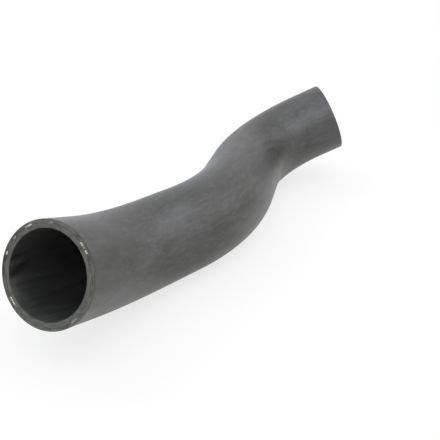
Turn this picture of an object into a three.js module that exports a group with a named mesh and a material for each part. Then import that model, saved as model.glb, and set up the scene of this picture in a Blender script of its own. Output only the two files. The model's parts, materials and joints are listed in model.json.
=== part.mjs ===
// A formed radiator hose: one moulded length of rubber tube, open at both ends, with three bends.
// Millimetres, +Z up. It lies as it settles on a bench, on the side of its middle bend,
// with its inlet end towards -X and its outlet end towards +X, and both ends clear of the bench.

import * as THREE from 'three';

// Section of the hose, the same from end to end
const OUTER_DIAMETER = 72;
const WALL = 6;

// The run from the inlet end to the outlet end, as the forming mandrel has it.
// Lengths and bend radii are measured on the centreline, and angles are in degrees.
const INLET_STRAIGHT = 30;
const INLET_BEND_RADIUS = 145;
const INLET_BEND_ANGLE = 33;
const INLET_LINK = 26;
const MIDDLE_BEND_RADIUS = 160;
const MIDDLE_BEND_ANGLE = 34;
const OUTLET_LINK = 44;
const OUTLET_BEND_RADIUS = 90;
const OUTLET_BEND_ANGLE = 70;
const OUTLET_STRAIGHT = 24;

// How far the plane of a bend is turned about the hose from the plane of the bend before it
const INLET_TO_MIDDLE_TWIST = -134;
const MIDDLE_TO_OUTLET_TWIST = 157;

// Fineness of the solid: flats around the section, and the distance between rings along the run
const FLATS_AROUND = 40;
const RING_SPACING = 9.4;

// Finish: moulded EPDM rubber, matt charcoal
const RUBBER_COLOUR = '#64666a';
const RUBBER_ROUGHNESS = 0.62;
const RUBBER_METALNESS = 0;

const ALONG = new THREE.Vector3(1, 0, 0);
const UP = new THREE.Vector3(0, 0, 1);

function straight(length) {
  return { length, curvature: 0, twist: 0 };
}

function bend(radius, angle, twist) {
  return {
    length: radius * THREE.MathUtils.degToRad(angle),
    curvature: 1 / radius,
    twist: THREE.MathUtils.degToRad(twist),
  };
}

// The place and heading at a distance along one stretch. A heading is a quaternion
// that turns +X to point along the hose, and +Y to point to the inside of the bend.
function travel(stretch, distance) {
  const turned = stretch.curvature * distance;
  const step = stretch.curvature === 0
    ? new THREE.Vector3(distance, 0, 0)
    : new THREE.Vector3(Math.sin(turned), 1 - Math.cos(turned), 0).divideScalar(stretch.curvature);
  return {
    place: step.applyQuaternion(stretch.heading).add(stretch.place),
    heading: stretch.heading.clone().multiply(new THREE.Quaternion().setFromAxisAngle(UP, turned)),
  };
}

// A centreline of straights and round bends, laid end to end from the origin.
class FormedCentreline extends THREE.Curve {
  constructor(stretches, attitude) {
    super();
    this.stretches = [];
    this.total = 0;
    let place = new THREE.Vector3();
    let heading = attitude.clone();
    for (const stretch of stretches) {
      const twist = new THREE.Quaternion().setFromAxisAngle(ALONG, stretch.twist);
      const laid = { ...stretch, place, heading: heading.multiply(twist), start: this.total };
      this.stretches.push(laid);
      this.total += stretch.length;
      ({ place, heading } = travel(laid, stretch.length));
    }
  }

  at(fraction) {
    const distance = fraction * this.total;
    const stretch = this.stretches.findLast((laid) => laid.start <= distance) ?? this.stretches[0];
    return travel(stretch, distance - stretch.start);
  }

  getPoint(fraction, target = new THREE.Vector3()) {
    return target.copy(this.at(fraction).place);
  }

  getTangent(fraction, target = new THREE.Vector3()) {
    return target.copy(ALONG).applyQuaternion(this.at(fraction).heading);
  }
}

// The hose rests on the side of its middle bend, so that bend's plane is level,
// and seen from above the line between the two ends lies along X.
function restingCentreline(stretches, middle) {
  const asFormed = new FormedCentreline(stretches, new THREE.Quaternion());
  const attitude = asFormed.stretches[middle].heading.clone().invert();
  const level = new FormedCentreline(stretches, attitude);
  const reach = level.getPoint(1).sub(level.getPoint(0));
  const yaw = new THREE.Quaternion().setFromAxisAngle(UP, -Math.atan2(reach.y, reach.x));
  return new FormedCentreline(stretches, attitude.premultiply(yaw));
}

function tubeSection() {
  const outerRadius = OUTER_DIAMETER / 2;
  const section = new THREE.Shape().absarc(0, 0, outerRadius, 0, 2 * Math.PI);
  section.holes.push(new THREE.Path().absarc(0, 0, outerRadius - WALL, 0, 2 * Math.PI));
  return section;
}

function makeHose() {
  const middleBend = bend(MIDDLE_BEND_RADIUS, MIDDLE_BEND_ANGLE, INLET_TO_MIDDLE_TWIST);
  const stretches = [
    straight(INLET_STRAIGHT),
    bend(INLET_BEND_RADIUS, INLET_BEND_ANGLE, 0),
    straight(INLET_LINK),
    middleBend,
    straight(OUTLET_LINK),
    bend(OUTLET_BEND_RADIUS, OUTLET_BEND_ANGLE, MIDDLE_TO_OUTLET_TWIST),
    straight(OUTLET_STRAIGHT),
  ];
  const centreline = restingCentreline(stretches, stretches.indexOf(middleBend));
  const geometry = new THREE.ExtrudeGeometry(tubeSection(), {
    extrudePath: centreline,
    steps: Math.round(centreline.total / RING_SPACING),
    curveSegments: FLATS_AROUND / 2,
  });
  const rubber = new THREE.MeshStandardMaterial({
    color: RUBBER_COLOUR,
    roughness: RUBBER_ROUGHNESS,
    metalness: RUBBER_METALNESS,
  });
  const hose = new THREE.Mesh(geometry, rubber);
  hose.name = 'hose';

  // The origin is at the bottom centre of the box that the hose fills.
  geometry.computeBoundingBox();
  const filled = geometry.boundingBox;
  const centre = filled.getCenter(new THREE.Vector3());
  hose.position.set(-centre.x, -centre.y, -filled.min.z);
  return hose;
}

const radiatorHose = new THREE.Group();
radiatorHose.add(makeHose());

export default radiatorHose;
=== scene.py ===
"""A formed radiator hose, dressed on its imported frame.

The hose is one moulded length of EPDM rubber tube. Its wall is modelled by carrying a ring along the
run that the forming mandrel gives it, and the yarn of its reinforcement shows on the two cut ends.
"""

from __future__ import annotations

import json
import logging
import math
from collections.abc import Iterable
from dataclasses import dataclass, field
from enum import Enum
from functools import partial
from typing import Any

import bpy
import numpy as np
from bpy.types import Material, Node, NodeSocket, NodeTree, Object
from mathutils import Euler, Matrix, Quaternion, Vector, noise

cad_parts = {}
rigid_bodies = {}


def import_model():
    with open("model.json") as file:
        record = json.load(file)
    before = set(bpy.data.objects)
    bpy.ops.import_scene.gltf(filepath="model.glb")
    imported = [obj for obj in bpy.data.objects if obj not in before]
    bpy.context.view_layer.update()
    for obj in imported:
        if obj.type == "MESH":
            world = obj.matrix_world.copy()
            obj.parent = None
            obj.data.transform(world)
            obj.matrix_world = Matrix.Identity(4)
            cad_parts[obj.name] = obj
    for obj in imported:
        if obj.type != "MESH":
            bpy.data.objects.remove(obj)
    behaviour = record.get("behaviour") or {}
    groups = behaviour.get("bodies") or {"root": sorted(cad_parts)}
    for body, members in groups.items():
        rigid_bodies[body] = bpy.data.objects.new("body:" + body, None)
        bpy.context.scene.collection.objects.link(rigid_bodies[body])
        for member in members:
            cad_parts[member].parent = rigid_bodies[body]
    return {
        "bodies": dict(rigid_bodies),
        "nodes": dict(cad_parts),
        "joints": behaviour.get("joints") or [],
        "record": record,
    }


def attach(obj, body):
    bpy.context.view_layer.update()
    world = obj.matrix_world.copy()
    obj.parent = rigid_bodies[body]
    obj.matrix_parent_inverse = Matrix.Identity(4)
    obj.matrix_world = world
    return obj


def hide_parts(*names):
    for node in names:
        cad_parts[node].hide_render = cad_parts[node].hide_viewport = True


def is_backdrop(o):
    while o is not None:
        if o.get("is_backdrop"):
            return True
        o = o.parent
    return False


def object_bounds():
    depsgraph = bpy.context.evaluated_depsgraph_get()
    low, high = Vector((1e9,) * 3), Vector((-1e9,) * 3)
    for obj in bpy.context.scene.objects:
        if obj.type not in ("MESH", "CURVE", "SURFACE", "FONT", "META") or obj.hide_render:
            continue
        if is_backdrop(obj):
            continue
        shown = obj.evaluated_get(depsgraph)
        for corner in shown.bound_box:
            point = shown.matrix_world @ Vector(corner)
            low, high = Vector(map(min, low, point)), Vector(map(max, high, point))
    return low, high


log = logging.getLogger("radiator_hose")

MM = 0.001
ALONG = Vector((1, 0, 0))
UP = Vector((0, 0, 1))

# Attributes of the wall that its finishes read: where a point lies with the hose pulled straight,
# how much painted shade lies on it inside the tight bend and in its folds, how much bloom it has
# on the cover, mixed with painted sheen, reflected light and shade, how much painted light and shade
# lie in the bore, and how much darker the rim of the cut face by the inlet is
UNBENT = "unbent"
PAINTED_SHADE = "pressed"
DUST_AND_PAINTED_LIGHT = "bloom"

# The numbered sockets of a Mix node, for numbers and for colours
VALUE_A = 2
VALUE_B = 3
COLOUR_A = 6
COLOUR_B = 7
COLOUR_RESULT = 2

# The settings of a Mix node that multiplies one colour by another
MULTIPLIED = {"data_type": "RGBA", "blend_type": "MULTIPLY"}

# How a noise is broken up
CLOUDY = {"Detail": 4.0, "Roughness": 0.6}
TORN = {"Detail": 3.0, "Roughness": 0.6}
BLOTCHY = {"Detail": 3.0, "Roughness": 0.65}
DRAWN_OUT = {"Detail": 3.0, "Roughness": 0.55}
GRAINY = {"Detail": 2.0, "Roughness": 0.6}
EVEN = {"Detail": 2.0, "Roughness": 0.5}


class HoseEnd(Enum):
    """The two cut ends of the hose, by the name of the frame's mount on each."""

    INLET = "inlet_face"
    OUTLET = "outlet_face"


class Soak(Enum):
    """How much rubber a yarn end has taken up, by the material that shows it."""

    BARE = "bare_polyester_yarn"
    GREYED = "greyed_polyester_yarn"
    SOAKED = "soaked_polyester_yarn"


class Zone(Enum):
    """The surfaces of the wall, by the material slot that each takes."""

    COVER = 0
    CUT = 1
    BORE = 2


def linear_colour(code: str) -> tuple[float, float, float, float]:
    """Turns an sRGB hex colour into Blender's linear values, by the curve of the sRGB standard.

    Args:
        code: The colour as six hex digits after a hash.

    Returns:
        Red, green, blue and an alpha of 1.
    """
    parts = [int(code[i : i + 2], 16) / 255 for i in (1, 3, 5)]
    linear = [c / 12.92 if c <= 0.04045 else ((c + 0.055) / 1.055) ** 2.4 for c in parts]
    return (*linear, 1.0)


def fill_ramp(ramp: Any, stops: Iterable[tuple[float, str]]) -> None:
    """Sets the stops of a new colour ramp, which has two to start with.

    Args:
        ramp: The ramp's elements.
        stops: Positions and hex colours, in rising order.
    """
    for i, (position, code) in enumerate(stops):
        stop = ramp[i] if i < len(ramp) else ramp.new(position)
        stop.position = position
        stop.color = linear_colour(code)


def add_node(
    tree: NodeTree,
    kind: str,
    settings: dict[str | int, Any] | None = None,
    links: dict[str | int, Node | NodeSocket] | None = None,
) -> Node:
    """Adds one shader node with its settings and links.

    Args:
        tree: The node tree.
        kind: The node's type without its prefix, such as TexNoise.
        settings: Values by property name, or by the name or number of an input. The stops of a
            colour ramp are given as positions and hex colours.
        links: What feeds each named or numbered input: a socket, or a node's first output.

    Returns:
        The new node.
    """
    node = tree.nodes.new("ShaderNode" + kind)
    for name, value in (settings or {}).items():
        if name == "stops":
            fill_ramp(node.color_ramp.elements, value)
        elif isinstance(name, str) and hasattr(node, name):
            setattr(node, name, value)
        else:
            node.inputs[name].default_value = value
    for name, source in (links or {}).items():
        socket = source.outputs[0] if isinstance(source, Node) else source
        tree.links.new(socket, node.inputs[name])
    return node


def new_material(name: str) -> tuple[Material, partial[Node]]:
    """Makes an empty node material.

    Args:
        name: The material's name.

    Returns:
        The material, and add_node for its tree.
    """
    material = bpy.data.materials.new(name)
    material.use_nodes = True
    material.node_tree.nodes.clear()
    return material, partial(add_node, material.node_tree)


def direction(bearing: float, elevation: float) -> Vector:
    """Points at a bearing, counted from +Y towards +X, and an elevation, both in degrees."""
    turn, rise = math.radians(bearing), math.radians(elevation)
    return Vector((math.sin(turn) * math.cos(rise), math.cos(turn) * math.cos(rise), math.sin(rise)))


def select_only(piece: Object) -> None:
    """Selects one object alone and makes it the active one.

    Args:
        piece: The object.
    """
    bpy.ops.object.select_all(action="DESELECT")
    piece.select_set(True)
    bpy.context.view_layer.objects.active = piece


def vertex_array(piece: Object) -> np.ndarray:
    """Reads the places of a mesh's vertices.

    Args:
        piece: A mesh object at the origin.

    Returns:
        One row of x, y and z for each vertex.
    """
    places = np.empty(len(piece.data.vertices) * 3)
    piece.data.vertices.foreach_get("co", places)
    return places.reshape(-1, 3)


def polar(unbent: np.ndarray) -> tuple[np.ndarray, np.ndarray, np.ndarray]:
    """Gives millimetres along the hose, millimetres off its centre and degrees about it."""
    along, side, above = unbent.T / MM
    return along, np.hypot(side, above), np.degrees(np.arctan2(above, side))


@dataclass(frozen=True)
class Stretch:
    """One stretch of the run as it is laid: a straight, or a round bend about its own +Z.

    At its start a stretch points along its own +X, and a bend's inside is towards its own +Y.
    """

    length: float
    curvature: float
    start: float
    rolled: float
    place: Vector
    heading: Quaternion

    def travel(self, distance: float) -> tuple[Vector, Quaternion]:
        """Goes a distance along the stretch.

        Args:
            distance: How far from the start of the stretch.

        Returns:
            The place on the centreline and the heading there.
        """
        turned = self.curvature * distance
        if self.curvature == 0:
            step = Vector((distance, 0, 0))
        else:
            step = Vector((math.sin(turned), 1 - math.cos(turned), 0)) / self.curvature
        return self.place + self.heading @ step, self.heading @ Quaternion(UP, turned)

    def unbend(self, places: np.ndarray) -> tuple[np.ndarray, np.ndarray, np.ndarray]:
        """Finds where places near the stretch lie along it and about it.

        Args:
            places: One row of x, y and z for each place.

        Returns:
            For each place, the distance along the stretch and the offsets to its +Y and +Z.
        """
        turn = np.array(self.heading.to_matrix())
        local = (places - np.array(self.place)) @ turn
        if self.curvature == 0:
            return local[:, 0], local[:, 1], local[:, 2]
        radius = 1 / self.curvature
        angle = np.arctan2(local[:, 0], radius - local[:, 1])
        reach = np.hypot(local[:, 0], radius - local[:, 1])
        return angle * radius, radius - reach, local[:, 2]


@dataclass
class HoseRun:
    """The centreline of the hose, as the forming mandrel has it: straights and three round bends.

    Lengths and bend radii are in millimetres on the centreline, angles in degrees. A twist is how
    far the plane of a bend is turned about the hose from the plane of the bend before it.
    """

    inlet_straight: float = 30
    inlet_bend_radius: float = 145
    inlet_bend_angle: float = 33
    inlet_link: float = 26
    middle_bend_radius: float = 160
    middle_bend_angle: float = 34
    middle_bend_twist: float = -134
    outlet_link: float = 44
    outlet_bend_radius: float = 90
    outlet_bend_angle: float = 70
    outlet_bend_twist: float = 157
    outlet_straight: float = 24
    length: float = 0
    stretches: list[Stretch] = field(default_factory=list)
    ends: dict[HoseEnd, tuple[Vector, Quaternion]] = field(default_factory=dict)

    def lay(self, place: Vector, heading: Quaternion) -> None:
        """Lays the stretches end to end.

        Args:
            place: The centre of the inlet end.
            heading: Turns +X to point into the hose there.
        """
        rows = (
            (self.inlet_straight, 0, 0, 0),
            (0, self.inlet_bend_radius, self.inlet_bend_angle, 0),
            (self.inlet_link, 0, 0, 0),
            (0, self.middle_bend_radius, self.middle_bend_angle, self.middle_bend_twist),
            (self.outlet_link, 0, 0, 0),
            (0, self.outlet_bend_radius, self.outlet_bend_angle, self.outlet_bend_twist),
            (self.outlet_straight, 0, 0, 0),
        )
        self.stretches = []
        self.ends = {HoseEnd.INLET: (place, heading)}
        start = rolled = 0.0
        for straight, radius, angle, twist in rows:
            length = (straight + radius * math.radians(angle)) * MM
            curvature = 1 / (radius * MM) if radius else 0.0
            heading = heading @ Quaternion(ALONG, math.radians(twist))
            rolled += math.radians(twist)
            stretch = Stretch(length, curvature, start, rolled, place, heading)
            self.stretches.append(stretch)
            place, heading = stretch.travel(length)
            start += length
        self.ends[HoseEnd.OUTLET] = (place, heading)
        self.length = start

    def lay_between(self, inlet: Vector, inwards: Vector, outlet: Vector) -> None:
        """Lays the run so that it goes from one end's centre to the other's.

        Args:
            inlet: The centre of the inlet end.
            inwards: The direction into the hose there.
            outlet: The centre of the outlet end.
        """
        heading = ALONG.rotation_difference(inwards)
        self.lay(inlet, heading)
        reached = self.ends[HoseEnd.OUTLET][0]
        across = [(p - inlet) - (p - inlet).dot(inwards) * inwards for p in (reached, outlet)]
        roll = math.atan2(inwards.dot(across[0].cross(across[1])), across[0].dot(across[1]))
        self.lay(inlet, Quaternion(inwards, roll) @ heading)

    def centre(self, along: float) -> Vector:
        """Gives the place on the centreline at a distance along the hose."""
        stretch = next((s for s in self.stretches if along <= s.start + s.length), self.stretches[-1])
        return stretch.travel(along - stretch.start)[0]

    def unbend(self, places: np.ndarray, reach: float) -> np.ndarray:
        """Finds where each place would lie if the hose were pulled straight along +X.

        Args:
            places: One row of x, y and z for each place, all of them on the hose.
            reach: The hose's outer radius.

        Returns:
            One row for each place: the distance along the hose, then the offsets about its centre,
            which keep their direction from ring to ring as the rubber does.
        """
        slack = 3 * MM
        found = np.zeros_like(places)
        done = np.zeros(len(places), bool)
        for stretch in self.stretches:
            run, side, above = stretch.unbend(places)
            near = np.hypot(side, above) < reach + slack
            here = near & (run > -slack) & (run < stretch.length + slack) & ~done
            cosine, sine = math.cos(stretch.rolled), math.sin(stretch.rolled)
            turned = (cosine * side - sine * above, sine * side + cosine * above)
            straightened = np.column_stack((stretch.start + run, *turned))
            found[here] = straightened[here]
            done |= here & (run >= 0) & (run <= stretch.length)
        return found


def cut_end(frame: dict[str, Any], end: HoseEnd) -> tuple[Vector, Vector]:
    """Works out where a cut end lies from its mount and the corners of the solid in its plane.

    Args:
        frame: The loaded frame.
        end: Which end.

    Returns:
        The centre of the end and the direction out of it.
    """
    in_plane = 0.05 * MM
    micrometre_places = 6
    mount = next(m for m in frame["record"]["mounts"] if m["name"] == end.value)
    outwards = Vector(mount["axis"]).normalized()
    corners = vertex_array(frame["nodes"]["hose"])
    off_plane = (corners - np.array(mount["pos_m"])) @ np.array(outwards)
    on_face = corners[np.abs(off_plane) < in_plane]
    distinct = np.unique(on_face.round(micrometre_places), axis=0)
    return Vector(distinct.mean(axis=0)), outwards


@dataclass(frozen=True)
class CoverRubber:
    """EPDM rubber moulded on a mandrel and cured in steam: matt charcoal under a thin pale bloom.

    The bloom lies in long soft patches and streaks, and the sheen lifts the tone where the eye grazes
    the hose. The patches are partly real bloom and partly painted light: the lightest are painted
    sheen and reflected light on the grazing sides. Where hands have held the hose the bloom is thin,
    and some of the darker patches are painted shade. The inside of the tight bend and its folds are
    made blacker with painted shade. The real grain is near 0.2 mm and is drawn coarser, so that it
    shows. Sizes are in millimetres.
    """

    deep: str = "#30302d"
    plain: str = "#464646"
    dusty: str = "#5c5d61"
    # The lightest tone, which the strongest patches reach: thick bloom mixed with painted sheen
    thick_and_painted_sheen: str = "#707175"
    tone_step: float = 0.2
    fleck: str = "#626364"
    fleck_size: float = 2.6
    fleck_stretch: float = 0.4
    fleck_from: float = 0.56
    fleck_to: float = 0.8
    fleck_share: float = 0.3
    speckle: float = 0.13
    # The colour that multiplies the cover where shade is painted, inside the tight bend and in its folds
    pressed: str = "#a2a2a2"
    roughness_low: float = 0.42
    roughness_high: float = 0.6
    matt_from: float = 0.35
    matt_to: float = 0.65
    index: float = 1.52
    bloom: float = 0.12
    bloom_roughness: float = 0.4
    # How far bloom and painted light and shade lift or lower the cover's tone
    dust_and_light_reach: float = 0.14
    patch_size: float = 26
    patch_stretch: float = 0.4
    patch_distortion: float = 0.4
    streak_spacing: float = 4.5
    streak_stretch: float = 0.09
    streak_share: float = 0.24
    streak_height: float = 0.05
    blotch_size: float = 7
    blotch_share: float = 0.3
    grain_size: float = 0.9
    grain_height: float = 0.05

    def make(self) -> Material:
        """Builds the material.

        Returns:
            The cover's material, which reads the unbent place of each point.
        """
        material, add = new_material("moulded_epdm_rubber")
        place = add("Attribute", {"attribute_name": UNBENT}).outputs["Vector"]
        dust_and_painted_light = add("Attribute", {"attribute_name": DUST_AND_PAINTED_LIGHT}).outputs["Fac"]
        # How much shade is painted on each point of the cover
        painted_shade_mask = add("Attribute", {"attribute_name": PAINTED_SHADE}).outputs["Fac"]
        stretched = add("Mapping", {"Scale": (self.patch_stretch, 1, 1)}, {"Vector": place})
        patches = add(
            "TexNoise",
            {"Scale": 1 / (self.patch_size * MM), "Distortion": self.patch_distortion, **CLOUDY},
            {"Vector": stretched},
        )
        blotches = add(
            "TexNoise", {"Scale": 1 / (self.blotch_size * MM), **BLOTCHY}, {"Vector": stretched}
        )
        lengthwise = add("Mapping", {"Scale": (self.streak_stretch, 1, 1)}, {"Vector": place})
        streaks = add(
            "TexNoise", {"Scale": 1 / (self.streak_spacing * MM), **DRAWN_OUT}, {"Vector": lengthwise}
        )
        short = add("Mapping", {"Scale": (self.fleck_stretch, 1, 1)}, {"Vector": place})
        specks = add("TexNoise", {"Scale": 1 / (self.fleck_size * MM), **EVEN}, {"Vector": short})
        long_marks = add("Mix", {0: self.streak_share}, {VALUE_A: patches, VALUE_B: streaks})
        mottle = add("Mix", {0: self.blotch_share}, {VALUE_A: long_marks, VALUE_B: blotches})
        speckled = add("Math", {"operation": "MULTIPLY_ADD", 1: self.speckle}, {0: specks, 2: mottle})
        # Bloom, painted sheen, reflected light and painted shade lift or lower the tone
        dusted_and_lit = add("Math", {"operation": "MULTIPLY_ADD", 1: self.dust_and_light_reach}, {0: dust_and_painted_light, 2: speckled})
        middle = (1 + self.speckle) / 2
        tones = enumerate((self.deep, self.plain, self.dusty, self.thick_and_painted_sheen), start=-1)
        stops = [(middle + step * self.tone_step, code) for step, code in tones]
        tone = add("ValToRGB", {"stops": stops}, {"Fac": dusted_and_lit})
        flecks = add(
            "MapRange",
            {"From Min": self.fleck_from, "From Max": self.fleck_to, "To Max": self.fleck_share},
            {"Value": specks},
        )
        flecked = add(
            "Mix",
            {"data_type": "RGBA", COLOUR_B: linear_colour(self.fleck)},
            {0: flecks, COLOUR_A: tone},
        )
        # Painted shade, inside the tight bend, in its folds and by the outlet end, darkens the cover
        pressed = add(
            "Mix",
            {**MULTIPLIED, COLOUR_B: linear_colour(self.pressed)},
            {0: painted_shade_mask, COLOUR_A: flecked.outputs[COLOUR_RESULT]},
        )
        matt_range = {"From Min": self.matt_from, "From Max": self.matt_to}
        gloss = add(
            "MapRange",
            {**matt_range, "To Min": self.roughness_low, "To Max": self.roughness_high},
            {"Value": long_marks},
        )
        flow = add("Bump", {"Distance": self.streak_height * MM}, {"Height": streaks})
        grain = add("TexNoise", {"Scale": 1 / (self.grain_size * MM), **GRAINY}, {"Vector": place})
        relief = add("Bump", {"Distance": self.grain_height * MM}, {"Height": grain, "Normal": flow})
        rubber = add(
            "BsdfPrincipled",
            {"IOR": self.index, "Sheen Weight": self.bloom, "Sheen Roughness": self.bloom_roughness},
            {"Base Color": pressed.outputs[COLOUR_RESULT], "Roughness": gloss, "Normal": relief},
        )
        add("OutputMaterial", links={"Surface": rubber})
        return material


@dataclass(frozen=True)
class CutRubber:
    """EPDM rubber cut through with a knife: matt olive charcoal, torn a little along the cut.

    The cut shows the wall's layers as rings: the lining, the cover, a darker line where the yarn lies
    between them, and dark edges where the moulded skins end. The knife has drawn the rubber out round
    the ring, in faint curved streaks whose shades multiply the rings, and where handling has wiped
    the rim it is darker. The tears are drawn coarser than the real ones, so that they show. Sizes
    are in millimetres, and the rings' places go from 0 at the bore to 1 at the outside.
    """

    lining: str = "#626463"
    yarn_line: str = "#545753"
    cover: str = "#686966"
    skin: str = "#484a48"
    rings: tuple[tuple[float, str], ...] = (
        (0.03, skin),
        (0.1, lining),
        (0.5, lining),
        (0.6, yarn_line),
        (0.68, yarn_line),
        (0.76, cover),
        (0.9, cover),
        (0.99, skin),
    )
    shades: tuple[tuple[float, str], ...] = ((0.32, "#999a98"), (0.45, "#d2d4d0"), (0.66, "#ffffff"))
    bare: str = "#808180"
    bare_from: float = -0.85
    bare_to: float = -1.6
    bore_radius: float = 30
    outer_radius: float = 36
    roughness: float = 0.75
    index: float = 1.52
    blotch_size: float = 1.7
    blotch_stretch: float = 0.3
    tear_size: float = 0.9
    tear_height: float = 0.16

    def make(self) -> Material:
        """Builds the material.

        Returns:
            The material of the two cut ends.
        """
        material, add = new_material("cut_epdm_rubber")
        place = add("Attribute", {"attribute_name": UNBENT}).outputs["Vector"]
        dust_and_painted_light = add("Attribute", {"attribute_name": DUST_AND_PAINTED_LIGHT}).outputs["Fac"]
        across = add("Mapping", {"Scale": (0, 1, 1)}, {"Vector": place})
        off_centre = add("VectorMath", {"operation": "LENGTH"}, {0: across}).outputs["Value"]
        layer = add(
            "MapRange",
            {"From Min": self.bore_radius * MM, "From Max": self.outer_radius * MM},
            {"Value": off_centre},
        )
        rings = add("ValToRGB", {"stops": self.rings}, {"Fac": layer})
        # The blotches read a place that changes fast across the ring and slowly round it.
        bearing = add("VectorMath", {"operation": "NORMALIZE"}, {0: across})
        round_it = add(
            "VectorMath",
            {"operation": "SCALE", "Scale": self.blotch_stretch * self.outer_radius * MM},
            {0: bearing},
        )
        depth = add("CombineXYZ", links={"X": off_centre})
        ring_place = add("VectorMath", {"operation": "ADD"}, {0: round_it, 1: depth})
        blotches = add(
            "TexNoise", {"Scale": 1 / (self.blotch_size * MM), **CLOUDY}, {"Vector": ring_place}
        )
        shades = add("ValToRGB", {"stops": self.shades}, {"Fac": blotches})
        mottled = add("Mix", {**MULTIPLIED, 0: 1.0}, {COLOUR_A: rings, COLOUR_B: shades})
        wiped = add("MapRange", {"From Min": self.bare_from, "From Max": self.bare_to}, {"Value": dust_and_painted_light})
        edged = add(
            "Mix",
            {**MULTIPLIED, COLOUR_B: linear_colour(self.bare)},
            {0: wiped, COLOUR_A: mottled.outputs[COLOUR_RESULT]},
        )
        tears = add("TexNoise", {"Scale": 1 / (self.tear_size * MM), **TORN}, {"Vector": place})
        relief = add("Bump", {"Distance": self.tear_height * MM}, {"Height": tears})
        rubber = add(
            "BsdfPrincipled",
            {"IOR": self.index, "Roughness": self.roughness},
            {"Base Color": edged.outputs[COLOUR_RESULT], "Normal": relief},
        )
        add("OutputMaterial", links={"Surface": rubber})
        return material


@dataclass(frozen=True)
class BoreRubber:
    """EPDM rubber formed on the mandrel: near black, smoother than the cover, faintly streaked.

    It is lighter deeper in and in a crescent on its wall by the inlet, with painted light, and darker
    in the folds by the inlet, with painted shade. The grain is drawn coarser than the real one, so
    that it shows. Sizes are in millimetres.
    """

    tones: tuple[tuple[float, str], ...] = ((0.2, "#262727"), (0.5, "#383939"), (0.9, "#646565"))
    # How far painted light lifts the bore's tone
    painted_light_reach: float = 0.3
    streak_share: float = 0.4
    roughness: float = 0.5
    index: float = 1.52
    streak_spacing: float = 3.4
    streak_stretch: float = 0.12
    grain_size: float = 1.2
    grain_height: float = 0.08

    def make(self) -> Material:
        """Builds the material.

        Returns:
            The material of the bore.
        """
        material, add = new_material("bore_epdm_rubber")
        place = add("Attribute", {"attribute_name": UNBENT}).outputs["Vector"]
        dust_and_painted_light = add("Attribute", {"attribute_name": DUST_AND_PAINTED_LIGHT}).outputs["Fac"]
        lengthwise = add("Mapping", {"Scale": (self.streak_stretch, 1, 1)}, {"Vector": place})
        streaks = add(
            "TexNoise", {"Scale": 1 / (self.streak_spacing * MM), **DRAWN_OUT}, {"Vector": lengthwise}
        )
        faint = add(
            "Math",
            {"operation": "MULTIPLY_ADD", 1: self.streak_share, 2: (1 - self.streak_share) / 2},
            {0: streaks},
        )
        # Painted light, deeper in and by the inlet, lifts the bore's tone, and painted shade lowers it
        # in the folds
        bore_painted_light = add("Math", {"operation": "MULTIPLY_ADD", 1: self.painted_light_reach}, {0: dust_and_painted_light, 2: faint})
        tone = add("ValToRGB", {"stops": self.tones}, {"Fac": bore_painted_light})
        grain = add("TexNoise", {"Scale": 1 / (self.grain_size * MM), **EVEN}, {"Vector": place})
        relief = add("Bump", {"Distance": self.grain_height * MM}, {"Height": grain})
        rubber = add(
            "BsdfPrincipled",
            {"IOR": self.index, "Roughness": self.roughness},
            {"Base Color": tone, "Normal": relief},
        )
        add("OutputMaterial", links={"Surface": rubber})
        return material


@dataclass(frozen=True)
class CutYarn:
    """Polyester yarn, spun and then cut: off-white and silky where bare, grey where rubber soaked in.

    The mottle from fibre to fibre is drawn coarser than the real fibres, so that it shows. Sizes are
    in millimetres.
    """

    soak: Soak
    shade: str
    light: str
    shade_to: float = 0.35
    light_from: float = 0.6
    roughness: float = 0.55
    index: float = 1.57
    silk: float = 0.4
    silk_roughness: float = 0.3
    fibre_size: float = 0.35

    def make(self) -> Material:
        """Builds the material.

        Returns:
            The yarn's material, mottled from fibre to fibre.
        """
        material, add = new_material(self.soak.value)
        place = add("TexCoord").outputs["Object"]
        fibres = add("TexNoise", {"Scale": 1 / (self.fibre_size * MM), **EVEN}, {"Vector": place})
        stops = ((self.shade_to, self.shade), (self.light_from, self.light))
        tone = add("ValToRGB", {"stops": stops}, {"Fac": fibres})
        silky = {"Sheen Weight": self.silk, "Sheen Roughness": self.silk_roughness}
        yarn = add(
            "BsdfPrincipled",
            {"IOR": self.index, "Roughness": self.roughness, **silky},
            {"Base Color": tone},
        )
        add("OutputMaterial", links={"Surface": yarn})
        return material


YARN_FINISHES = (
    CutYarn(Soak.BARE, "#d2d1c8", "#f4f3ee"),
    CutYarn(Soak.GREYED, "#7d807b", "#a9aba6"),
    CutYarn(Soak.SOAKED, "#515451", "#6c6f6b"),
)


@dataclass(frozen=True)
class Mark:
    """A long soft mark on the hose, at a place in millimetres along it and degrees about it.

    Its length and width are in millimetres, and its slant is the angle between the mark and the
    hose's length, in degrees. The amount at its middle is a fold's depth in millimetres, or a
    patch's share of bloom. A ridge or a bare patch is below 0.
    """

    along: float
    angle: float
    length: float
    slant: float
    amount: float
    width: float

    def amount_at(self, along: np.ndarray, angle: np.ndarray, radius: float) -> np.ndarray:
        """Works out how much of the mark there is at places on the hose.

        Args:
            along: Distances along the hose in millimetres.
            angle: Angles about the hose in degrees.
            radius: The radius of the marked surface in millimetres.

        Returns:
            The amount at each place, which stays level along the mark and fades to its sides.
        """
        run = along - self.along
        turned = (angle - self.angle + 180) % 360 - 180
        rise = np.radians(turned) * radius
        slant = math.radians(self.slant)
        lengthways = run * math.cos(slant) + rise * math.sin(slant)
        crossways = rise * math.cos(slant) - run * math.sin(slant)
        ends = np.exp(-((2 * lengthways / self.length) ** 4))
        return self.amount * ends * np.exp(-((crossways / self.width) ** 2))


# The marks below give, in this order: along, angle, length, slant, amount and width.

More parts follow.
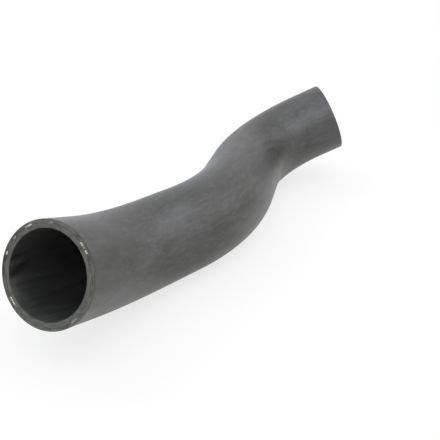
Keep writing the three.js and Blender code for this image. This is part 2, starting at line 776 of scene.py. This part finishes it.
# The folds that the tight bend presses into its inside, and the ridge between two of them, whose
# depth also sets the painted shade in the folds
BEND_FOLDS = (
    Mark(283, -8, 42, 8, 0.42, 2.2),
    Mark(311, 3.5, 34, 23, 0.45, 2.2),
    Mark(292, 3, 40, 12, -0.5, 2),
    Mark(292, 10, 50, 15, 0.7, 2.6),
    Mark(301, -13, 24, 12, 0.4, 1.1),
    Mark(298, 19, 22, 6, 0.5, 1.6),
)
# The folds that were drawn into the bore beside the inlet, with painted shade in them, and the
# ridges beside them, with painted light on them
BORE_FOLDS = (
    Mark(8, -127.5, 15, 15, 0.9, 1.7),
    Mark(7, -149, 20, 15, 1, 1.7),
    Mark(13, -142.5, 14, 20, 0.9, 2.6),
    Mark(6, -136, 16, 13, -0.7, 1.8),
    Mark(6, -158, 16, 0, -0.5, 2.2),
)
# Painted shade: inside the tight bend, and on the lower side of the hose by the outlet end
PAINTED_SHADE_PATCHES = (
    Mark(274, 10, 112, 2, 0.9, 11),
    Mark(370, 46, 116, 0, 0.36, 15),
)
# Where the bloom on the cover lies thick, and where handling has thinned it, mixed with painted
# light: the strongest patches are painted sheen and reflected light on grazing sides, and some of
# the thin ones are painted shade
BLOOM_AND_PAINTED_LIGHT_PATCHES = (
    Mark(0, -124, 7, 0, -2, 34),
    Mark(14, -50, 90, 0, 1.7, 9),
    Mark(14, 26, 90, 0, -0.85, 11),
    Mark(30, 68, 110, 0, 0.7, 13),
    Mark(95, 12, 50, 0, 0.4, 9),
    Mark(118, -2, 46, 4, 0.5, 10),
    Mark(125, -38, 60, 0, -0.35, 9),
    Mark(125, 60, 90, 0, -0.75, 9),
    Mark(160, 33, 50, 0, -0.5, 9),
    Mark(163, -13, 56, 5, -0.75, 14),
    Mark(193, -76, 80, 0, 1.7, 9),
    Mark(200, 46, 74, 0, 0.6, 10),
    Mark(232, -15, 46, -10, -0.75, 9),
    Mark(242, 44, 40, 0, 0.7, 9),
    Mark(275, 34, 28, 0, -0.7, 7),
    Mark(303, 60, 54, 0, 0.8, 8),
    Mark(322, -22, 40, 0, -0.9, 8),
    Mark(350, -50, 64, 0, -0.65, 10),
    Mark(382, 0, 70, 0, 1, 10),
    Mark(388, 62, 70, 0, 0.6, 9),
)
# Painted light in the bore: all round it deeper in, and a lit crescent on its wall by the inlet;
# the last patch darkens the wall beside the inlet
BORE_PAINTED_LIGHT_PATCHES = (
    Mark(206, 0, 330, 0, 0.5, 400),
    Mark(0, -169, 12, 0, 0.8, 8),
    Mark(0, 172, 24, 0, 0.45, 12),
    Mark(0, 138, 20, 0, 0.25, 13),
    Mark(14, -112, 60, 0, -0.4, 20),
)


@dataclass
class HoseWall:
    """The moulded wall of the hose, with its cut ends and its bore.

    Sizes are in millimetres, angles in degrees.
    """

    run: HoseRun
    outer_diameter: float = 72
    wall: float = 6
    flats_around: int = 192
    ring_spacing: float = 3.2
    weld: float = 0.01
    rim_rounding: float = 0.22
    rim_facets: int = 3
    rim_angle: float = 60
    rim_margin: float = 1.5
    smooth_angle: float = 40
    ribs_around: int = 27
    rib_height: float = 0.11
    rib_wander: float = 2.4
    rib_evenness: float = 0.6
    rib_fade: float = 4
    unevenness: float = 0.22
    unevenness_size: float = 24
    unevenness_stretch: float = 0.5
    patch_waver: float = 5
    creased_from: float = 254
    creased_to: float = 336
    creased_angle: float = 38
    crease_cuts: int = 2

    def make(self) -> Object:
        """Models and dresses the wall.

        Returns:
            The wall, which stands for the frame's hose.
        """
        wall = self.carry_ring()
        self.give_thickness(wall)
        self.refine_bend(wall)
        from_end, off_centre = self.shape_surfaces(wall)
        self.dress(wall, from_end, off_centre)
        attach(wall, "root")
        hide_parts("hose")
        return wall

    def carry_ring(self) -> Object:
        """Models the outside of the hose by carrying a ring along the run.

        Returns:
            An open tube, with its place in its mesh.
        """
        place, heading = self.run.ends[HoseEnd.INLET]
        facing = heading @ UP.rotation_difference(ALONG)
        bpy.ops.object.select_all(action="DESELECT")
        bpy.ops.mesh.primitive_circle_add(
            vertices=self.flats_around,
            radius=self.outer_diameter / 2 * MM,
            fill_type="NOTHING",
            location=place,
            rotation=facing.to_euler(),
        )
        tube = bpy.context.object
        tube.name = "hose_wall"
        tube.data.name = "hose_wall"
        bpy.ops.object.mode_set(mode="EDIT")
        bpy.ops.mesh.select_all(action="SELECT")
        for stretch in self.run.stretches:
            steps = max(1, round(stretch.length / (self.ring_spacing * MM)))
            if stretch.curvature == 0:
                step = stretch.heading @ ALONG * (stretch.length / steps)
                for _ in range(steps):
                    bpy.ops.mesh.extrude_region_move(TRANSFORM_OT_translate={"value": step})
            else:
                inside = stretch.heading @ Vector((0, 1 / stretch.curvature, 0))
                bpy.ops.mesh.spin(
                    steps=steps,
                    angle=stretch.length * stretch.curvature,
                    center=stretch.place + inside,
                    axis=stretch.heading @ -UP,
                )
        bpy.ops.mesh.select_all(action="SELECT")
        bpy.ops.mesh.remove_doubles(threshold=self.weld * MM)
        bpy.ops.mesh.normals_make_consistent()
        bpy.ops.object.mode_set(mode="OBJECT")
        bpy.ops.object.transform_apply()
        return tube

    def give_thickness(self, tube: Object) -> None:
        """Gives the tube its wall inwards, and rounds the edges of its two cut ends.

        Args:
            tube: The open tube, facing outwards.
        """
        select_only(tube)
        thicken = tube.modifiers.new("wall", "SOLIDIFY")
        thicken.thickness = self.wall * MM
        thicken.offset = -1
        thicken.use_even_offset = True
        bpy.ops.object.modifier_apply(modifier=thicken.name)
        rounding = tube.modifiers.new("rim", "BEVEL")
        rounding.width = self.rim_rounding * MM
        rounding.segments = self.rim_facets
        rounding.limit_method = "ANGLE"
        rounding.angle_limit = math.radians(self.rim_angle)
        bpy.ops.object.modifier_apply(modifier=rounding.name)

    def refine_bend(self, wall: Object) -> None:
        """Gives the inside of the tight bend a finer mesh, for its folds.

        Args:
            wall: The closed wall.
        """
        outer = self.outer_diameter / 2
        along, off_centre, angle = polar(self.run.unbend(vertex_array(wall), outer * MM))
        chosen = (
            (along > self.creased_from)
            & (along < self.creased_to)
            & (np.abs(angle) < self.creased_angle)
            & (off_centre > outer - self.wall / 2)
        )
        select_only(wall)
        bpy.ops.object.mode_set(mode="EDIT")
        bpy.ops.mesh.select_all(action="DESELECT")
        bpy.ops.object.mode_set(mode="OBJECT")
        for face in wall.data.polygons:
            face.select = all(chosen[i] for i in face.vertices)
        bpy.ops.object.mode_set(mode="EDIT")
        bpy.ops.mesh.select_mode(type="FACE")
        bpy.ops.mesh.subdivide(number_cuts=self.crease_cuts)
        bpy.ops.object.mode_set(mode="OBJECT")

    def shape_surfaces(self, wall: Object) -> tuple[np.ndarray, np.ndarray]:
        """Shapes the bore's ribs and the cover's unevenness and folds, and keeps what the finishes read.

        Args:
            wall: The closed wall.

        Returns:
            How far each vertex is from the nearer end of the hose, and how far from its centre it
            was before, in millimetres.
        """
        outer = self.outer_diameter / 2
        places = vertex_array(wall)
        unbent = self.run.unbend(places, outer * MM)
        away = places - np.array([self.run.centre(distance) for distance in unbent[:, 0]])
        away /= np.linalg.norm(away, axis=1)[:, None]
        along, off_centre, angle = polar(unbent)
        on_cover = off_centre > outer - self.wall / 2
        scaled = unbent * (self.unevenness_stretch, 1, 1) / (self.unevenness_size * MM)
        lumps = np.array([noise.noise(Vector(row)) for row in scaled])
        waver = lumps * self.patch_waver
        folds = self.marked(BEND_FOLDS, along, angle)
        dents = self.marked(BORE_FOLDS, along, angle)
        from_end = np.minimum(along, self.run.length / MM - along)
        fade = np.clip(from_end / self.rib_fade, 0, 1)
        waves = np.cos(self.ribs_around * np.radians(angle) + self.rib_wander * lumps)
        ribs = (1 + waves) / 2 * self.rib_height
        ribs *= self.rib_evenness + (1 - self.rib_evenness) * lumps
        sunk = (lumps - 1) / 2 * self.unevenness - folds
        shift = np.where(on_cover, sunk, (dents - ribs) * fade) * MM
        moved = places + away * shift[:, None]
        wall.data.vertices.foreach_set("co", moved.ravel())
        kept = wall.data.attributes.new(UNBENT, "FLOAT_VECTOR", "POINT")
        kept.data.foreach_set("vector", unbent.ravel())
        # Painted shade: the patches inside the tight bend and by the outlet end, and the folds' depth
        pressed = np.clip(self.marked(PAINTED_SHADE_PATCHES, along, angle) + folds, 0, 1)
        # Bloom on the cover, mixed with painted sheen, reflected light and shade
        bloom = self.marked(BLOOM_AND_PAINTED_LIGHT_PATCHES, along + waver, angle + waver)
        # Painted light in the bore, less the folds, which gives them painted shade and their ridges
        # painted light
        bore_painted_light = self.marked(BORE_PAINTED_LIGHT_PATCHES, along + waver, angle + waver) - dents
        for name, values in ((PAINTED_SHADE, pressed), (DUST_AND_PAINTED_LIGHT, np.where(on_cover, bloom, bore_painted_light))):
            mask = wall.data.attributes.new(name, "FLOAT", "POINT")
            mask.data.foreach_set("value", values)
        wall.data.update()
        select_only(wall)
        bpy.ops.object.shade_smooth_by_angle(angle=math.radians(self.smooth_angle))
        return from_end, off_centre

    def marked(self, marks: tuple[Mark, ...], along: np.ndarray, angle: np.ndarray) -> np.ndarray:
        """Adds up marks at places along the hose and about it, in millimetres and degrees."""
        return sum(mark.amount_at(along, angle, self.outer_diameter / 2) for mark in marks)

    def dress(self, wall: Object, from_end: np.ndarray, off_centre: np.ndarray) -> None:
        """Gives each face the finish of the surface that it lies on.

        Args:
            wall: The shaped wall.
            from_end: How far each vertex is from the nearer end of the hose, in millimetres.
            off_centre: How far from the centre it was before it was shaped, in millimetres.
        """
        for finish in (CoverRubber(), CutRubber(), BoreRubber()):
            wall.data.materials.append(finish.make())
        inwards = self.run.ends[HoseEnd.INLET][1] @ ALONG
        outwards = self.run.ends[HoseEnd.OUTLET][1] @ ALONG
        faces_out = math.cos(math.radians(self.rim_angle))
        rim = self.rim_rounding * self.rim_margin
        middle = (self.outer_diameter - self.wall) / 2
        for face in wall.data.polygons:
            corners = list(face.vertices)
            facing = max(-face.normal.dot(inwards), face.normal.dot(outwards))
            if facing > faces_out and from_end[corners].max() < rim:
                zone = Zone.CUT
            else:
                zone = Zone.BORE if off_centre[corners].mean() < middle else Zone.COVER
            face.material_index = zone.value


@dataclass(frozen=True)
class YarnEnd:
    """One cut yarn: its angle about the hose in degrees, its width in millimetres and its look.

    The inset is how much nearer to the bore it lies than the others.
    """

    angle: float
    width: float
    soak: Soak
    inset: float = 0


# The yarns that the cut at the inlet goes through: soak, inset, and each one's angle and width
CUT_YARNS = tuple(
    YarnEnd(angle, width, soak, inset)
    for soak, inset, yarns in (
        (Soak.BARE, 0.9, ((179, 5.4),)),
        (Soak.BARE, 0, ((-125, 2.3), (-79, 2.8), (-5.4, 2.3), (4.5, 2.2))),
        (Soak.GREYED, 0.9, ((172.5, 1.8),)),
        (Soak.GREYED, 0, ((-104, 2.2), (-84, 2.6), (-50, 2.2), (-1.4, 2.2), (86, 4.8))),
        (Soak.SOAKED, 0, ((-165, 1.8), (-152, 2.6), (-138, 2), (-115, 2), (-65, 2.2), (-37, 2.4))),
        (Soak.SOAKED, 0, ((-24, 2.8), (16, 2), (29, 2.6), (42, 2.2), (56, 2.4), (71, 2))),
        (Soak.SOAKED, 0, ((101, 2), (115, 2.4), (130, 2), (144, 2.8), (158, 2))),
    )
    for angle, width in yarns
)


@dataclass
class YarnEnds:
    """The cut ends of the reinforcing yarn on one cut face. Millimetres and degrees.

    A filament is drawn some ten times as thick as the real one, so that the yarn shows as a bundle.
    The outlet turn is how far the outlet's yarns are turned round the hose from the inlet's, and
    the filament turn, in radians, is from each filament to the next.
    """

    run: HoseRun
    end: HoseEnd
    layer_radius: float = 33.8
    outlet_turn: float = 47
    filaments: int = 10
    filament_radius: float = 0.31
    filament_sides: int = 8
    filament_turn: float = 0.7
    root: float = 0.6
    proud: float = 0.1
    tip: float = 0.1
    tip_taper: float = 0.55
    tuft_width: float = 4
    row_gap: float = 0.6
    row_squeeze: float = 1.6
    lean: float = 14
    smooth_angle: float = 50

    def make(self) -> Object:
        """Models the yarn ends of one cut face.

        Returns:
            All the yarn ends there as one piece.
        """
        made = bpy.data.materials.get
        finishes = {f.soak: made(f.soak.value) or f.make() for f in YARN_FINISHES}
        tuft = self.make_tuft()
        tufts = [self.place_copy(tuft, yarn, finishes[yarn.soak]) for yarn in CUT_YARNS]
        bpy.data.objects.remove(tuft)
        name = "inlet_yarn_ends" if self.end is HoseEnd.INLET else "outlet_yarn_ends"
        piece = self.join(tufts, name)
        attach(piece, "root")
        return piece

    def make_filament(self) -> Object:
        """Models one stub of filament that stands on the cut face, with a melted round tip.

        Returns:
            The filament at the origin, pointing up.
        """
        bpy.ops.object.select_all(action="DESELECT")
        bpy.ops.mesh.primitive_circle_add(
            vertices=self.filament_sides,
            radius=self.filament_radius * MM,
            fill_type="NGON",
            location=(0, 0, -self.root * MM),
        )
        filament = bpy.context.object
        bpy.ops.object.mode_set(mode="EDIT")
        bpy.ops.mesh.select_all(action="SELECT")
        for rise in (self.root + self.proud, self.tip):
            bpy.ops.mesh.extrude_region_move(TRANSFORM_OT_translate={"value": (0, 0, rise * MM)})
        bpy.ops.transform.resize(value=(self.tip_taper, self.tip_taper, 1))
        bpy.ops.mesh.select_all(action="SELECT")
        bpy.ops.mesh.normals_make_consistent()
        bpy.ops.object.mode_set(mode="OBJECT")
        bpy.ops.object.transform_apply()
        return filament

    def make_tuft(self) -> Object:
        """Bundles copies of one filament into the flat tuft of a cut yarn, in two rows.

        Returns:
            The tuft at the origin, wide along +X and pointing up.
        """
        filament = self.make_filament()
        copies = []
        for i in range(self.filaments):
            share = i / (self.filaments - 1) - 0.5
            row = 1 if i % 2 else -1
            squeeze = 1 - self.row_squeeze * share * share
            place = Vector((share * self.tuft_width, row * self.row_gap / 2 * squeeze, 0)) * MM
            lean, tilt = math.radians(row * self.lean / 2), math.radians(share * self.lean)
            turn = Euler((lean, tilt, i * self.filament_turn)).to_matrix().to_4x4()
            copies.append(self.copy(filament, Matrix.Translation(place) @ turn))
        bpy.data.objects.remove(filament)
        return self.join(copies, "yarn_tuft")

    def copy(self, piece: Object, at: Matrix) -> Object:
        """Copies a piece with its own mesh.

        Args:
            piece: What to copy.
            at: Where the copy goes.

        Returns:
            The copy.
        """
        select_only(piece)
        bpy.ops.object.duplicate()
        double = bpy.context.object
        double.matrix_world = at
        return double

    def place_copy(self, tuft: Object, yarn: YarnEnd, material: Material) -> Object:
        """Puts a copy of the tuft on the cut face.

        Args:
            tuft: The tuft at the origin.
            yarn: Which yarn it ends.
            material: The yarn's material.

        Returns:
            The placed copy.
        """
        centre, heading = self.run.ends[self.end]
        turn = 0 if self.end is HoseEnd.INLET else self.outlet_turn
        angle = math.radians(yarn.angle + turn)
        outwards = heading @ (-ALONG if self.end is HoseEnd.INLET else ALONG)
        radial = heading @ Vector((0, math.cos(angle), math.sin(angle)))
        along = radial.cross(outwards)
        frame = Matrix((along, radial, outwards)).transposed().to_4x4()
        wide = Matrix.Diagonal((yarn.width / self.tuft_width, 1, 1, 1))
        seat = Matrix.Translation(centre + radial * (self.layer_radius - yarn.inset) * MM)
        placed = self.copy(tuft, seat @ frame @ wide)
        placed.data.materials.append(material)
        return placed

    def join(self, parts: list[Object], name: str) -> Object:
        """Joins parts into one piece with its place in its mesh.

        Args:
            parts: The parts.
            name: The piece's name.

        Returns:
            The piece.
        """
        select_only(parts[0])
        for part in parts:
            part.select_set(True)
        bpy.ops.object.join()
        piece = bpy.context.object
        piece.name = name
        piece.data.name = name
        bpy.ops.object.transform_apply()
        bpy.ops.object.shade_smooth_by_angle(angle=math.radians(self.smooth_angle))
        return piece


@dataclass(frozen=True)
class SoftLamp:
    """A square softbox aimed at the hose. Degrees, metres and watts."""

    name: str
    bearing: float
    elevation: float
    distance: float
    size: float
    power: float
    colour: str

    def make(self) -> None:
        """Hangs the lamp."""
        lamp = bpy.data.lights.new(self.name, "AREA")
        lamp.size = self.size
        lamp.energy = self.power
        lamp.color = linear_colour(self.colour)[:3]
        holder = bpy.data.objects.new(self.name, lamp)
        away = direction(self.bearing, self.elevation)
        holder.location = away * self.distance
        holder.rotation_euler = (-away).to_track_quat("-Z", "Y").to_euler()
        bpy.context.collection.objects.link(holder)


@dataclass(frozen=True)
class Studio:
    """A plain pale floor, a white surround and soft lamps. Sizes are in metres.

    The floor has its bounce colour for the light that it throws back on the hose. Near the hose it
    keeps a share of its real shading for the camera, and from there it goes over to plain white.
    """

    floor_size: float = 12
    floor_colour: str = "#f5f5f5"
    floor_roughness: float = 0.9
    bounce_colour: str = "#f4f0e4"
    shadow_kept: float = 0.26
    shadow_from: float = 0.3
    shadow_to: float = 0.8
    surround: float = 0.75
    lamps: tuple[SoftLamp, ...] = (
        SoftLamp("back_softbox", 0, 50, 1.2, 0.9, 3.8, "#e2eaff"),
        SoftLamp("right_softbox", 135, 45, 1.2, 0.9, 3.2, "#ffffff"),
        SoftLamp("front_softbox", 225, 62, 1.2, 0.9, 3.2, "#ffffff"),
    )

    def make(self) -> None:
        """Builds the floor, the world and the lamps."""
        self.make_floor()
        self.make_world()
        for lamp in self.lamps:
            lamp.make()

    def make_floor(self) -> None:
        """Lays a pale matt floor that is lifted to white for the camera, and keeps a soft shadow."""
        bpy.ops.object.select_all(action="DESELECT")
        bpy.ops.mesh.primitive_plane_add(size=self.floor_size, location=(0, 0, 0))
        floor = bpy.context.object
        floor.name = "floor"
        material, add = new_material("studio_floor")
        seen = self.add_seen(material.node_tree)
        bounce, pale = (linear_colour(code) for code in (self.bounce_colour, self.floor_colour))
        paper = add("Mix", {"data_type": "RGBA", COLOUR_A: bounce, COLOUR_B: pale}, {0: seen})
        matt = add(
            "BsdfPrincipled",
            {"Roughness": self.floor_roughness},
            {"Base Color": paper.outputs[COLOUR_RESULT]},
        )
        white = add("Emission", {"Color": (1, 1, 1, 1)})
        place = add("TexCoord").outputs["Object"]
        off_centre = add("VectorMath", {"operation": "LENGTH"}, {0: place}).outputs["Value"]
        reach = {"From Min": self.shadow_from, "From Max": self.shadow_to}
        lift = add("MapRange", {**reach, "To Min": 1 - self.shadow_kept}, {"Value": off_centre})
        share = add("Math", {"operation": "MULTIPLY"}, {0: lift, 1: seen})
        mix = add("MixShader", links={0: share, 1: matt, 2: white})
        add("OutputMaterial", links={"Surface": mix})
        floor.data.materials.append(material)
        floor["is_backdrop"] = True

    def add_seen(self, tree: NodeTree) -> Node:
        """Adds what tells a ray that shows the background from one that only lights the hose.

        Args:
            tree: The floor's or the world's node tree.

        Returns:
            A node that gives 1 for camera, glossy and transmission rays and 0 for the rest.
        """
        path = add_node(tree, "LightPath").outputs
        larger = partial(add_node, tree, "Math", {"operation": "MAXIMUM"})
        straight = larger({0: path["Is Camera Ray"], 1: path["Is Glossy Ray"]})
        return larger({0: straight, 1: path["Is Transmission Ray"]})

    def make_world(self) -> None:
        """Surrounds the hose with plain white, at full white where the camera sees it."""
        world = bpy.data.worlds.new("white_surround")
        bpy.context.scene.world = world
        world.use_nodes = True
        world.node_tree.nodes.clear()
        add = partial(add_node, world.node_tree)
        seen = self.add_seen(world.node_tree)
        strength = add("Mix", {VALUE_A: self.surround, VALUE_B: 1.0}, {0: seen})
        light = add("Background", {"Color": (1, 1, 1, 1)}, {"Strength": strength})
        add("OutputWorld", links={"Surface": light})


@dataclass(frozen=True)
class PhotoCamera:
    """The camera at the photograph's place. Metres and degrees, and millimetres for the optics."""

    place: tuple[float, float, float] = (-0.3636, -0.2870, 0.2564)
    azimuth: float = 52.56
    depression: float = 27.76
    roll: float = -1.31
    sensor: float = 36
    lens: float = 45.55
    nearest: float = 0.01

    def make(self) -> None:
        """Sets up the camera and makes it the scene's."""
        data = bpy.data.cameras.new("camera")
        data.sensor_width = self.sensor
        data.lens = self.lens
        data.clip_start = self.nearest
        camera = bpy.data.objects.new("camera", data)
        view = direction(self.azimuth, -self.depression)
        right = view.cross(UP).normalized()
        above = right.cross(view)
        upright = Matrix((right, above, -view)).transposed()
        rolled = Matrix.Rotation(math.radians(self.roll), 3, -view) @ upright
        camera.location = self.place
        camera.rotation_euler = rolled.to_euler()
        bpy.context.collection.objects.link(camera)
        bpy.context.scene.camera = camera


def main() -> None:
    """Builds the hose, the studio and the camera."""
    logging.basicConfig(level=logging.INFO, format="%(message)s")
    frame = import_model()
    frame_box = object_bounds()
    inlet, outwards = cut_end(frame, HoseEnd.INLET)
    outlet, _ = cut_end(frame, HoseEnd.OUTLET)
    run = HoseRun()
    run.lay_between(inlet, -outwards, outlet)
    miss = (run.ends[HoseEnd.OUTLET][0] - outlet).length
    log.info("run: %.1f mm long, ends %.3f mm from the frame's", run.length / MM, miss / MM)
    for part in (HoseWall(run), *(YarnEnds(run, end) for end in HoseEnd)):
        piece = part.make()
        log.info("%s: %d faces", piece.name, len(piece.data.polygons))
    Studio().make()
    PhotoCamera().make()
    bpy.context.scene.view_settings.view_transform = "Standard"
    boxes = {
        "cad": [list(corner) for corner in frame_box],
        "visual": [list(corner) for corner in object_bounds()],
    }
    for name, corners in boxes.items():
        low, high = ([round(c / MM, 2) for c in corner] for corner in corners)
        log.info("%s box mm: %s to %s", name, low, high)


if __name__ == "__main__":
    main()
